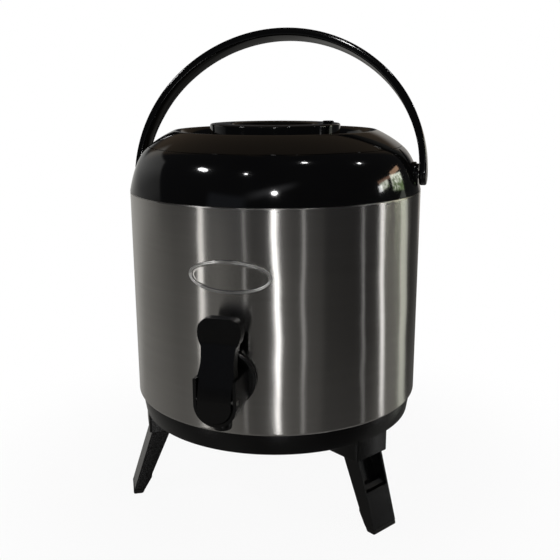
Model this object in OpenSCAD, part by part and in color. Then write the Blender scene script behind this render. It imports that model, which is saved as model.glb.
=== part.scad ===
// Insulated drink dispenser: a foam-filled steel barrel on three folding legs,
// with a lift-out lid, a swinging bail and a spring-closed tap.
// Millimetres, +Z up. The origin is on the barrel's axis at the floor. The tap faces -Y.

/* [Barrel] */
// Outside diameter of the steel shell
barrel_d = 260; // [250:1:290]
// Height of the steel shell
barrel_h = 185.5; // [175:0.5:230]
// Height of the shell's lower edge above the floor
stand_h = 99; // [94:0.5:106]
// Thickness of the steel sheet
sheet_t = 0.6; // [0.5:0.1:1]
// Thickness of the insulation
foam_t = 22; // [20:1:24]
// Roll-in of the shell's lower edge
edge_roll = 2.5; // [1:0.5:3]

/* [Collar] */
// Height of the collar above the shell
collar_h = 37.8; // [36:0.2:44]
// Distance from the shell's side in to the collar's lip
lip_inset = 17.5; // [16:0.5:19]
// Wall of the collar moulding
collar_wall = 3; // [2.5:0.1:3.5]
// Width of the raised pad under each bail lug
ear_w = 30; // [26:1:36]
// Height of the pads above the collar
ear_rise = 0.4; // [0.3:0.1:0.8]
// Radius of the lug
lug_r = 11; // [10:0.5:12]

/* [Bail] */
// Height of the bail's pivot above the shell's upper edge
pivot_h = 14.5; // [14:0.5:16]
// Flattening of the bail's top against a half circle
bail_drop = 6.8; // [4:0.2:9]
// Width of the strap
bail_w = 18; // [16:0.5:20]
// Thickness of the strap
bail_t = 6.2; // [5.8:0.1:7]
// Backward lean of the bail at rest, in degrees
bail_lean = 16.3; // [0:0.1:25]
// Radius of the pivot screw's shoulder
pivot_r = 3.5; // [3:0.1:4]

/* [Lid] */
// Radius of the opening of the lid's recess
recess_r = 89; // [84:0.5:90]
// Rise of the lid from the lip to the recess's rim
lid_rise = 13.6; // [12:0.2:18]
// Radius of the round grip in the middle
grip_r = 58; // [50:1:62]
// Rise of the grip's top above the lip
grip_rise = 19; // [17:0.2:22]
// Radius of the dish in the grip's top
dish_r = 38; // [30:1:40]
// Depth of the plug that goes down into the mouth
plug_h = 24; // [20:1:26]

/* [Tap] */
// Height of the tap's shank above the shell's lower edge
tap_h = 50; // [46:0.5:60]
// Width of the lever's head
lever_w = 35; // [33:0.5:38]
// Width of the tap's body
body_w = 34.6; // [33:0.2:36]
// Radius of the shank's thread
shank_r = 10; // [9:0.5:11]
// Radius of the flange
flange_r = 23; // [21:0.5:24]

/* [Badge] */
// Width of the badge
badge_w = 69; // [60:1:76]
// Height of the badge
badge_h = 26.5; // [22:0.5:30]
// Height of the badge's middle above the shell's lower edge
badge_z = 131.4; // [125:0.2:140]

/* [Base and legs] */
// Height of the base's skirt
base_h = 20; // [18:0.5:21]
// Draw-in of the skirt over its height
base_draw = 4.8; // [3:0.1:5.5]
// Turn of the ring of legs about the barrel's axis, in degrees
leg_turn = -2; // [-4:0.2:4]
// Width of a leg housing
hood_w = 37.4; // [36.4:0.2:39]
// Width of a leg at its hinge
leg_w = 31.8; // [30:0.2:31.8]
// Width of a leg at its foot
foot_w = 28.2; // [25:0.2:29]
// Outward splay of a leg, in degrees
leg_splay = 18; // [15:0.5:19]
// Radius of a leg hinge pin
leg_pin_r = 2.5; // [2:0.1:2.8]

/* [Fits] */
// Radial clearance of a pin in a turning piece
run_fit = 0.05; // [0.03:0.01:0.08]
// Gap between pieces that move past each other
gap = 0.3; // [0.3:0.05:0.4]
// Clearance of a curved piece against the surface that it lies on
snug = 0.15; // [0.1:0.05:0.3]

/* [Hidden] */
$fn = 96;
barrel_r = barrel_d / 2;
z0 = stand_h;
z_top = z0 + barrel_h;
shell_ir = barrel_r - sheet_t;
liner_or = shell_ir - foam_t;
liner_ir = liner_or - sheet_t;
z_liner = z0 + sheet_t + foam_t;
z_flange = z_top + 10;
liner_bend = 4;

// collar, mouth and lid
z_lip = z_top + collar_h;
lip_r = barrel_r - lip_inset;
mouth_r = liner_ir - 2.6;
spigot_h = 8;
spigot_ir = shell_ir - collar_wall - 0.1;
gasket_h = 1.6;
collar_bulge = [barrel_r - 5.7, z_lip - 9.1];
seat_gap = 0.4;
z_rim = z_lip + lid_rise;
z_grip = z_lip + grip_rise;
z_pan = z_lip - plug_h;
lid_wall = 3;
plug_r = mouth_r - 0.5;
plug_wall = 3;
seal_h = 4;
z_seal = z_lip - 12;
vent_pos = [(grip_r + dish_r) / 2 - 0.5, 110];
vent_r = 3.4;

// bail
z_pivot = z_top + pivot_h;
bail_ir = barrel_r - 0.8;
bail_flat = bail_drop / (2 - sqrt(2));
lug_x = bail_ir - 0.8;
lug_t = 14;
boss_t = 2.2;
screw_head_r = 5.5;
screw_head_t = 2.5;

// tap, measured out from the shell's side and up from the shank's axis
z_tap = z0 + tap_h;
gasket_t = 1.8;
flange_t = 3.5;
lever_pivot = [barrel_r + 33.5, z_tap - 7];
lever_pin_r = 2;
hub_r = 4;
stem_y = barrel_r + 20;
stem_r = 2;
chamber_r = 6.5;
spout_r = 7.8;
spout_bore = 4.5;
tongue_w = 27.2;
tongue_z = -10.4;
tongue_gap = 1.1;
slot_r = barrel_r + 28.8;
lever_wall = 3;
z_seat = z_tap - 24;
z_bonnet = z_tap + 6;
bonnet_t = 4.5;
finger_z = 12.2;
finger_t = 3;
finger_w = 11;
lever_depth = 9;
seal_t = 3;
seal_lift = 0.1;

// base and legs
plate_t = 4;
z_plate = z0 - plate_t;
skirt_wall = 3;
hood_r = barrel_r - 6.1;
hood_back = barrel_r - 38;
hood_wall = 3;
hood_drop = 34;
leg_pivot = [barrel_r - 22, z0 - 24];
leg_top_r = 8.6;
leg_taper = 5.4;
sole_t = 4;
kink_z = 1.5;
bump_z = 16;
bay_w = leg_w + 2 * gap;
base_screw_r = 1.8;
base_screw_ring = barrel_r - 30;
leg_angles = [60 + leg_turn, -60 + leg_turn, 180 + leg_turn];
screw_angles = [for (bay = [0, 120, 240]) for (side = [-20, 20]) bay + leg_turn + side];

steel = "silver";
gloss_black = [0.05, 0.05, 0.06];
satin_black = [0.10, 0.10, 0.11];
rubber = [0.18, 0.18, 0.18];
foam = "khaki";

// Points of an arc about c, in degrees
function arc(c, r, a0, a1, n = 8) =
    [for (i = [0:n]) let (a = a0 + (a1 - a0) * i / n) c + r * [cos(a), sin(a)]];

// Points of a quadratic curve from a to c, drawn towards b
function curve(a, b, c, n = 10) =
    [for (i = [0:n]) let (t = i / n, s = 1 - t) s * s * a + 2 * s * t * b + t * t * c];

// Rectangle w by h about the origin with corners of radius r
function round_rect(w, h, r, n = 4) = concat(
    arc([w / 2 - r, h / 2 - r], r, 0, 90, n), arc([r - w / 2, h / 2 - r], r, 90, 180, n),
    arc([r - w / 2, r - h / 2], r, 180, 270, n), arc([w / 2 - r, r - h / 2], r, 270, 360, n));

// An outline and its mirror image about the Z axis, from the top down one side and up the other
function both_sides(half) = concat(half, [for (i = [len(half) - 1:-1:0]) [-half[i].x, half[i].y]]);

// An outline in [distance out from the axis, z], w wide across the front
module side(w) {
    rotate([90, 0, -90]) linear_extrude(w, center = true) children();
}

// An outline in [x, z], from distance r0 to r1 out at the front
module front(r0, r1) {
    translate([0, -r0, 0]) rotate([90, 0, 0]) linear_extrude(r1 - r0) children();
}

// A round bar pointing out at the front, from distance r0 to r1
module front_bar(r, r0, r1, z) {
    translate([0, -r0, z]) rotate([90, 0, 0]) cylinder(r = r, h = r1 - r0);
}

// A round bar across the object, at a point [distance out, z]
module cross_bar(r, w, at) {
    translate([0, -at[0], at[1]]) rotate([0, 90, 0]) cylinder(r = r, h = w, center = true);
}

// A ring or disc about the barrel's axis
module ring(r_out, r_in, z_from, z_to) {
    rotate_extrude() polygon([[r_in, z_from], [r_out, z_from], [r_out, z_to], [r_in, z_to]]);
}

// Barrel

module outer_shell() {
    color(steel) difference() {
        rotate_extrude() polygon([
            [0, z0], [barrel_r - edge_roll, z0], [barrel_r, z0 + edge_roll], [barrel_r, z_top],
            [shell_ir, z_top], [shell_ir, z0 + edge_roll], [shell_ir - edge_roll, z0 + sheet_t],
            [0, z0 + sheet_t]]);
        front_bar(shank_r + 0.2, shell_ir - 4, barrel_r + 4, z_tap);
        base_screw_holes(base_screw_r, z0 - 1, z0 + 2);
    }
}

module inner_liner() {
    color(steel) difference() {
        rotate_extrude() polygon([
            [liner_or - liner_bend, z_liner], [liner_or, z_liner + liner_bend], [liner_or, z_flange],
            [liner_or + 5, z_flange], [liner_or + 5, z_flange + sheet_t], [liner_ir, z_flange + sheet_t],
            [liner_ir, z_liner + liner_bend], [liner_or - liner_bend, z_liner + sheet_t]]);
        front_bar(shank_r + 0.2, liner_ir - 4, liner_or + 4, z_tap);
    }
}

module liner_floor() {
    color(steel) ring(liner_or - liner_bend, 0, z_liner, z_liner + sheet_t);
}

module insulation() {
    neck_r = min(liner_or + 8, lug_x - lug_t - gap);
    color(foam) difference() {
        rotate_extrude() polygon([
            [0, z0 + sheet_t], [shell_ir - edge_roll, z0 + sheet_t], [shell_ir, z0 + edge_roll],
            [shell_ir, z_top - spigot_h], [spigot_ir, z_top - spigot_h], [spigot_ir, z_top - 2],
            [neck_r, z_top - 2], [neck_r, z_flange], [liner_or, z_flange], [liner_or, z_liner + liner_bend],
            [liner_or - liner_bend, z_liner], [0, z_liner]]);
        front_bar(shank_r + 0.2, liner_or - 4, barrel_r + 4, z_tap);
        base_screw_holes(base_screw_r + 0.1, z0, z0 + 10);
    }
}

// Outer line of the collar, raised by e, from the shell up to the lip
function collar_line(e) = curve([barrel_r + e, z_top], collar_bulge + [e, e], [lip_r, z_lip + e]);

module collar() {
    wall = collar_wall;
    z_skirt = z_flange + sheet_t + gasket_h;
    z_spigot = z_top - spigot_h;
    inside = curve([lip_r - 1, z_lip - wall], collar_bulge - [wall, wall], [spigot_ir, z_top]);
    color(gloss_black) difference() {
        union() {
            rotate_extrude() polygon(concat(
                collar_line(0), [[mouth_r, z_lip], [mouth_r, z_skirt]],
                [[mouth_r + wall, z_skirt], [mouth_r + wall, z_lip - wall]], inside,
                [[spigot_ir, z_spigot], [spigot_ir + wall, z_spigot], [spigot_ir + wall, z_top]]));
            for (side = [0, 180]) rotate([0, 0, side]) collar_ear();
        }
        for (side = [0, 180]) rotate([0, 0, side])
            translate([lug_x - lug_t, 0, z_pivot]) rotate([0, 90, 0]) cylinder(r = pivot_r - 1, h = 20);
    }
}

// Raised pad and lug at one end of the bail's axis
module collar_ear() {
    intersection() {
        rotate_extrude() polygon(concat(
            collar_line(ear_rise),
            [[lip_r, z_lip - 2], [lip_r - 1, z_lip - collar_wall + 0.5], [barrel_r - 2, z_top]]));
        translate([0, -ear_w / 2, z_pivot - lug_r]) cube([lug_x, ear_w, z_lip - 1 - z_pivot + lug_r]);
    }
    translate([lug_x - lug_t, 0, z_pivot]) rotate([0, 90, 0]) {
        cylinder(r = lug_r, h = lug_t - boss_t);
        cylinder(r = lug_r - 1.5, h = lug_t);
    }
}

module liner_gasket() {
    color(rubber) ring(mouth_r + collar_wall, mouth_r, z_flange + sheet_t, z_flange + sheet_t + gasket_h);
}

// Oval with half axes a and b
function oval(a, b, n = 72) = [for (i = [0:n - 1]) [a * cos(360 * i / n), b * sin(360 * i / n)]];

// A plate on the shell's side, t thick, with the outline of the children in [x, z]
module on_shell(t) {
    intersection() {
        ring(barrel_r + t, barrel_r + snug, z0, z_top);
        translate([0, 0, z0 + badge_z]) front(barrel_r / 2, barrel_r + 10) children();
    }
}

module badge() {
    rim = 2.4;
    a = badge_w / 2;
    b = badge_h / 2;
    color(steel) {
        on_shell(1.0) polygon(oval(a, b));
        on_shell(1.7) difference() {
            polygon(oval(a, b));
            polygon(oval(a - rim, b - rim));
        }
    }
}

// Base and legs

module base_screw_holes(r, z_from, z_to) {
    for (a = screw_angles) rotate([0, 0, a])
        translate([0, -base_screw_ring, z_from]) cylinder(r = r, h = z_to - z_from);
}

module base() {
    top_r = barrel_r - edge_roll;
    foot_r = top_r - base_draw;
    color(satin_black) difference() {
        union() {
            rotate_extrude() polygon([
                [0, z0], [top_r, z0], [foot_r, z0 - base_h], [foot_r - skirt_wall, z0 - base_h],
                [top_r - skirt_wall, z_plate], [0, z_plate]]);
            for (a = leg_angles) rotate([0, 0, a]) translate([-hood_w / 2, -hood_r, z0 - hood_drop])
                cube([hood_w, hood_r - hood_back, hood_drop - 1]);
        }
        for (a = leg_angles) rotate([0, 0, a]) {
            translate([-bay_w / 2, hood_wall - hood_r, z0 - hood_drop - 1])
                cube([bay_w, hood_r - hood_back, hood_drop - plate_t + 1]);
            cross_bar(leg_pin_r, hood_w + 2, leg_pivot);
        }
        base_screw_holes(base_screw_r + 0.2, z_plate - 1, z0 + 1);
    }
}

module base_screws() {
    color(steel) {
        base_screw_holes(base_screw_r, z_plate, z0 + 9);
        base_screw_holes(3.6, z_plate - 2.4, z_plate);
    }
}

// A point s down a leg's outer face from the hinge, n out from the line through the hinge
function on_leg(s, n, tilt = leg_splay) =
    leg_pivot + s * [sin(tilt), -cos(tilt)] + n * [cos(tilt), sin(tilt)];

// Distance out of a leg's outer or inner face at height z
function outer_at(z) = on_leg(0, leg_top_r)[0] + (on_leg(0, leg_top_r)[1] - z) * tan(leg_splay);
function inner_at(z) =
    let (tilt = leg_splay + leg_taper, p = on_leg(0, -leg_top_r, tilt)) p[0] + (p[1] - z) * tan(tilt);

// The inner face's chamfer down to the foot
function chamfer_at(z) = let (t = (bump_z - z) / bump_z) inner_at(bump_z) * (1 - t) + (inner_at(0) + 1) * t;

// The front view of a leg, narrowing to the foot
module leg_front(z_from) {
    z_high = leg_pivot[1] + leg_top_r + 1;
    w_low = foot_w + (leg_w - foot_w) * z_from / z_high;
    front(0, barrel_r + 40) polygon([
        [-leg_w / 2, z_high], [leg_w / 2, z_high], [w_low / 2, z_from], [-w_low / 2, z_from]]);
}

module leg(a) {
    pocket_w = foot_w - 6;
    color(satin_black) rotate([0, 0, a]) difference() {
        union() {
            cross_bar(leg_top_r, leg_w, leg_pivot);
            intersection() {
                side(leg_w) polygon([
                    on_leg(0, -leg_top_r, leg_splay + leg_taper), leg_pivot, on_leg(0, leg_top_r),
                    [outer_at(sole_t), sole_t], [chamfer_at(sole_t), sole_t],
                    [inner_at(bump_z) - 1, bump_z], [inner_at(bump_z + 3), bump_z + 3]]);
                leg_front(0);
            }
        }
        side(pocket_w) polygon([on_leg(13, 12), on_leg(13, 3), on_leg(41, 2), on_leg(46.5, 12)]);
        cross_bar(leg_pin_r + run_fit, leg_w + 2, leg_pivot);
    }
}

module foot(a) {
    color(rubber) rotate([0, 0, a]) intersection() {
        side(leg_w) polygon([
            [chamfer_at(sole_t), sole_t], [outer_at(sole_t), sole_t],
            [outer_at(kink_z), kink_z], [outer_at(kink_z) - 0.8, 0], [chamfer_at(0) + 0.4, 0]]);
        leg_front(0);
    }
}

module leg_right() {
    leg(leg_angles[0]);
}

module leg_left() {
    leg(leg_angles[1]);
}

module leg_back() {
    leg(leg_angles[2]);
}

module foot_right() {
    foot(leg_angles[0]);
}

module foot_left() {
    foot(leg_angles[1]);
}

module foot_back() {
    foot(leg_angles[2]);
}

module leg_pins() {
    color(steel) for (a = leg_angles) rotate([0, 0, a]) cross_bar(leg_pin_r, hood_w, leg_pivot);
}

// Bail

module bail() {
    color(gloss_black) translate([0, 0, z_pivot]) rotate([-bail_lean, 0, 0]) difference() {
        union() {
            rotate([90, 0, 0]) {
                translate([0, -bail_flat, 0]) bail_arc(bail_ir - bail_drop + bail_flat, 45, 90);
                translate([bail_flat, 0, 0]) bail_arc(bail_ir - bail_flat, 0, 45);
                translate([-bail_flat, 0, 0]) bail_arc(bail_ir - bail_flat, 135, 45);
            }
            for (turn = [0, 180]) rotate([0, 0, turn]) translate([bail_ir, 0, 0]) bail_end();
        }
        for (turn = [0, 180]) rotate([0, 0, turn]) translate([bail_ir, 0, 0]) rotate([0, 90, 0]) {
            translate([0, 0, -1]) cylinder(r = pivot_r + run_fit, h = bail_t + 2);
            translate([0, 0, bail_t - screw_head_t - gap])
                cylinder(r = screw_head_r + gap, h = screw_head_t + 2);
        }
    }
}

// One of the strap's three arcs, with inside radius r
module bail_arc(r, from, sweep) {
    rotate([0, 0, from]) rotate_extrude(angle = sweep, $fn = 160)
        translate([r + bail_t / 2, 0]) polygon(round_rect(bail_t, bail_w, 1.8));
}

// Rounded lower end of the strap
module bail_end() {
    difference() {
        rotate([0, 90, 0]) cylinder(r = bail_w / 2, h = bail_t);
        translate([-1, -bail_w, 0]) cube([bail_t + 2, 2 * bail_w, bail_w]);
    }
}

module bail_pivots() {
    head_x = bail_ir + bail_t - screw_head_t;
    color(steel) for (turn = [0, 180]) rotate([0, 0, turn]) translate([0, 0, z_pivot]) rotate([0, 90, 0])
        difference() {
            union() {
                translate([0, 0, lug_x - lug_t]) cylinder(r = pivot_r - 1, h = lug_t + 1);
                translate([0, 0, lug_x]) cylinder(r = pivot_r, h = head_x - lug_x + 0.5);
                translate([0, 0, head_x]) cylinder(r = screw_head_r, h = screw_head_t - 0.1);
            }
            translate([0, 0, head_x + 0.8]) cylinder(r = 2.2, h = 4, $fn = 6);
        }
}

// Lid

module vent_hole(r) {
    rotate([0, 0, vent_pos[1]]) translate([0, -vent_pos[0], z_pan - 5])
        cylinder(r = r, h = plug_h + 2 * grip_rise);
}

module lid_cover() {
    z_floor = z_lip + 2;
    z_dish = z_grip - 3;
    z_seat_rim = z_lip + seat_gap;
    rim_r = lip_r - 0.4;
    recess_in = recess_r - 7;
    swell = [(rim_r + recess_r) / 2 + 1.5, (z_lip + z_rim) / 2 + 1.5];
    groove_r = plug_r - 1.6;
    skirt_r = plug_r - plug_wall;
    inside_r = grip_r - lid_wall;
    color(gloss_black) difference() {
        rotate_extrude() polygon(concat(
            [[plug_r, z_seat_rim]],
            curve([rim_r, z_seat_rim], swell, [recess_r + 1, z_rim], 6),
            curve([recess_r - 1, z_rim], [recess_in + 1, z_rim - 3], [recess_in, z_floor + 2], 6),
            arc([recess_in - 2, z_floor + 2], 2, 0, -90, 4),
            arc([grip_r + 2, z_floor + 2], 2, 270, 180, 4),
            arc([grip_r - 1.5, z_grip - 1.5], 1.5, 0, 90, 4),
            curve([dish_r + 4, z_grip], [dish_r + 1, z_grip], [dish_r, z_dish + 0.8], 4),
            [[dish_r - 2, z_dish], [0, z_dish], [0, z_dish - lid_wall], [inside_r, z_dish - lid_wall]],
            [[inside_r, z_floor - lid_wall], [recess_in + lid_wall - 1, z_floor - lid_wall]],
            [[recess_r + 1.5, z_rim - lid_wall - 1], [skirt_r, z_lip + 5], [skirt_r, z_pan + 2]],
            [[plug_r, z_pan + 2], [plug_r, z_seal], [groove_r, z_seal], [groove_r, z_seal + seal_h]],
            [[plug_r, z_seal + seal_h]]));
        vent_hole(vent_r + 0.9);
    }
}

module lid_pan() {
    bore = plug_r - plug_wall - 0.1;
    color("gainsboro") difference() {
        rotate_extrude() polygon([
            [0, z_pan], [plug_r - 1, z_pan], [plug_r, z_pan + 1], [plug_r, z_pan + 2], [bore, z_pan + 2],
            [bore, z_pan + 8], [bore - 2, z_pan + 8], [bore - 2, z_pan + 2], [0, z_pan + 2]]);
        vent_hole(vent_r - 1);
    }
}

module lid_core() {
    color(foam) difference() {
        ring(plug_r - plug_wall - 2.2, 0, z_pan + 2, z_lip - 1);
        vent_hole(vent_r + 2);
    }
}

module lid_gasket() {
    color(rubber) ring(mouth_r - 0.15, plug_r - 1.6, z_seal, z_seal + seal_h);
}

module vent_plug() {
    z_cap = z_grip + gap;
    color(satin_black) rotate([0, 0, vent_pos[1]]) translate([0, -vent_pos[0], 0]) rotate_extrude()
        polygon(concat(
            [[0, z_grip - 10], [vent_r, z_grip - 10], [vent_r, z_cap], [vent_r + 1.8, z_cap]],
            arc([vent_r + 0.8, z_cap + 0.8], 1, 0, 90, 4), [[0, z_cap + 1.8]]));
}

module vent_seal() {
    color(rubber) rotate([0, 0, vent_pos[1]]) translate([0, -vent_pos[0], 0])
        ring(vent_r + 0.7, vent_r, z_grip - 7, z_grip - 1);
}

// Tap

// Half of the lever's front view, drawn in by e, from the top down the side to the foot
function lever_half(e) = concat(
    arc([lever_w / 2 - 9, 45.3], 9 - e, 90, 0, 8),
    curve([lever_w / 2 - e, 43.5], [lever_w / 2 - e, 38], [lever_w * 0.405 - e, 33], 5),
    curve([lever_w * 0.39 - e, 28], [lever_w * 0.36 - e, 20], [lever_w * 0.43 - e, 10.8], 6),
    [[tongue_w / 2 - e, 9.5]], arc([0, tongue_z], tongue_w / 2 - e, 0, -85, 12));

module lever_front(e) {
    translate([0, 0, z_tap]) front(barrel_r, barrel_r + 60) polygon(both_sides(lever_half(e)));
}

// The lever's front face from the head to the foot, set back by e
function lever_line(e) =
    [for (p = [[22.6, 54.3], [25, 35.5], [33, 10], [38, -6], [38.5, -25]]) [barrel_r + p[0] - e, z_tap + p[1]]];

module tap_lever() {
    f = lever_line(0);
    finger_end = barrel_r + 9;
    color(satin_black) difference() {
        union() {
            intersection() {
                side(lever_w + 2) polygon(concat(
                    f, [[lever_pivot[0] + 0.5, f[4][1]], lever_pivot + [0.5, 0]],
                    [[slot_r + 0.6, z_tap + 5], [slot_r + 0.6, z_tap + 11]],
                    [[f[2][0] - lever_depth, z_tap + 11]],
                    [f[1] - [lever_depth, 0], f[0] - [lever_depth, 0]]));
                lever_front(0);
            }
            cross_bar(hub_r, tongue_w - 0.4, lever_pivot);
        }
        intersection() {
            side(lever_w + 2) polygon(concat(
                [for (i = [0:2]) lever_line(lever_wall)[i] - [0, i == 0 ? lever_wall : 0]],
                [[slot_r, z_tap + 9], [barrel_r, z_tap + 9], [barrel_r, f[0][1] - lever_wall]]));
            lever_front(lever_wall - 0.5);
            translate([-lever_w, -barrel_r - 60, z_tap + finger_z + finger_t]) cube([2 * lever_w, 60, 60]);
        }
        cross_bar(lever_pin_r + run_fit, lever_w, lever_pivot);
    }
    color(satin_black) difference() {
        translate([-finger_w / 2, -slot_r - 0.2, z_tap + finger_z])
            cube([finger_w, slot_r + 0.2 - finger_end, finger_t]);
        translate([-stem_r - 0.5, -stem_y - 3.5, z_tap]) cube([2 * stem_r + 1, 30, 40]);
    }
}

module lever_pin() {
    color(steel) cross_bar(lever_pin_r, body_w, lever_pivot);
}

module tap_body() {
    half = body_w / 2;
    slot_half = tongue_w / 2 + tongue_gap;
    nose_r = lever_pivot[0] + 3;
    flange_back = barrel_r + gasket_t;
    color(satin_black) difference() {
        union() {
            front_bar(flange_r, flange_back, flange_back + flange_t, z_tap);
            front_bar(shank_r, liner_ir - 10, flange_back + 1, z_tap);
            intersection() {
                translate([0, 0, z_tap]) side(body_w) polygon([
                    [barrel_r + 4, 10], [nose_r, 10], [nose_r, -30], [barrel_r + 17, -30],
                    [barrel_r + 14, -26], [barrel_r + 4, -12]]);
                translate([0, 0, z_tap]) front(barrel_r, barrel_r + 60) polygon(concat(
                    [[-half, 11]], arc([0, tongue_z], half, 180, 360, 24), [[half, 11]]));
            }
            translate([0, -stem_y, z_tap - 35]) cylinder(r = spout_r, h = 13);
        }
        translate([0, 0, z_tap]) front(slot_r, barrel_r + 60) polygon(concat(
            [[-slot_half, 12]], arc([0, tongue_z], slot_half, 180, 360, 24), [[slot_half, 12]]));
        cross_bar(lever_pin_r, body_w + 2, lever_pivot);
        translate([0, -stem_y, z_seat]) cylinder(r = chamber_r, h = 40);
        translate([0, -stem_y, z_bonnet]) cylinder(r = chamber_r + 2, h = 20);
        translate([0, -stem_y, z_tap - 40]) cylinder(r = spout_bore, h = 20);
        front_bar(5, liner_ir - 12, stem_y, z_tap);
    }
}

module tap_gasket() {
    color(rubber) difference() {
        front_bar(flange_r - 1.5, barrel_r - 6, barrel_r + gasket_t, z_tap);
        ring(barrel_r + snug, 0, z_tap - 30, z_tap + 30, $fn = 480);
        front_bar(shank_r, barrel_r - 8, barrel_r + 8, z_tap);
    }
}

module tap_washer() {
    color(rubber) difference() {
        intersection() {
            front_bar(shank_r + 6, liner_ir - 3.5, liner_ir + 4, z_tap);
            ring(liner_ir - snug, 0, z_tap - 30, z_tap + 30, $fn = 480);
        }
        front_bar(shank_r, liner_ir - 6, liner_ir + 6, z_tap);
    }
}

module tap_nut() {
    color("white") difference() {
        translate([0, 9 - liner_ir, z_tap]) rotate([90, 0, 0])
            cylinder(r = shank_r + 6.5, h = 5.5, $fn = 6);
        front_bar(shank_r, liner_ir - 12, liner_ir, z_tap);
    }
}

module tap_bonnet() {
    color(satin_black) translate([0, -stem_y, z_bonnet]) difference() {
        cylinder(r = chamber_r + 2, h = bonnet_t);
        translate([0, 0, -1]) cylinder(r = stem_r + run_fit, h = bonnet_t + 2);
    }
}

module valve_stem() {
    z_low = z_seat + seal_lift + seal_t;
    z_head = z_tap + finger_z + finger_t + gap;
    color(steel) translate([0, -stem_y, 0]) {
        translate([0, 0, z_low]) cylinder(r = chamber_r - 1, h = 2);
        translate([0, 0, z_low]) cylinder(r = stem_r, h = z_head + 2.5 - z_low);
        translate([0, 0, z_head]) cylinder(r = stem_r + 2.5, h = 2.5);
    }
}

module valve_seal() {
    color(rubber) translate([0, -stem_y, z_seat + seal_lift]) cylinder(r = chamber_r - 0.4, h = seal_t);
}

module valve_spring() {
    z_low = z_seat + seal_lift + seal_t + 2;
    color(steel) translate([0, -stem_y, 0]) ring(stem_r + 2.4, stem_r + 1.2, z_low, z_bonnet);
}

outer_shell();
inner_liner();
liner_floor();
insulation();
collar();
liner_gasket();
badge();
base();
base_screws();
bail();
bail_pivots();
lid_cover();
lid_pan();
lid_core();
lid_gasket();
vent_plug();
vent_seal();
tap_body();
tap_gasket();
tap_washer();
tap_nut();
tap_bonnet();
tap_lever();
lever_pin();
valve_stem();
valve_seal();
valve_spring();
leg_left();
leg_right();
leg_back();
leg_pins();
foot_left();
foot_right();
foot_back();
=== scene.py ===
import math

import bmesh
import bpy
from mathutils import Matrix, Quaternion, Vector


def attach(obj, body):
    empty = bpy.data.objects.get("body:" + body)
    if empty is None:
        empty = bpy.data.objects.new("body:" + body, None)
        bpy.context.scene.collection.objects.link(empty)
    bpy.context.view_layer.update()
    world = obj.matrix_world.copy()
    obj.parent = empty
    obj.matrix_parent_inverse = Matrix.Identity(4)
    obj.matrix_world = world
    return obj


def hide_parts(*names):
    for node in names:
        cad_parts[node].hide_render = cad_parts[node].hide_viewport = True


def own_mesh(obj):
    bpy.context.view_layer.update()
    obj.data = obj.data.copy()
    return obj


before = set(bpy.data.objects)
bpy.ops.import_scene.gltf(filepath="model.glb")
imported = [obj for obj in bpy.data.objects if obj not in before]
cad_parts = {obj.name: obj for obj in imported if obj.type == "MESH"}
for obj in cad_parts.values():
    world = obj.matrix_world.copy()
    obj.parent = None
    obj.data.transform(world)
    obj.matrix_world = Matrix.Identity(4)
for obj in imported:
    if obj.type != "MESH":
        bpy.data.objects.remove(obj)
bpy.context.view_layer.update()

# Base
# One black moulding screwed up under the barrel: a drawn-in skirt, a floor plate and three square
# housings for the legs' hinges. It is injection-moulded plastic with a fine satin grain.

MM = 0.001  # outlines are drawn in millimetres, the scene is in metres
LEG_ANGLES = {"right": 58, "left": -62, "back": 178}


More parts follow.
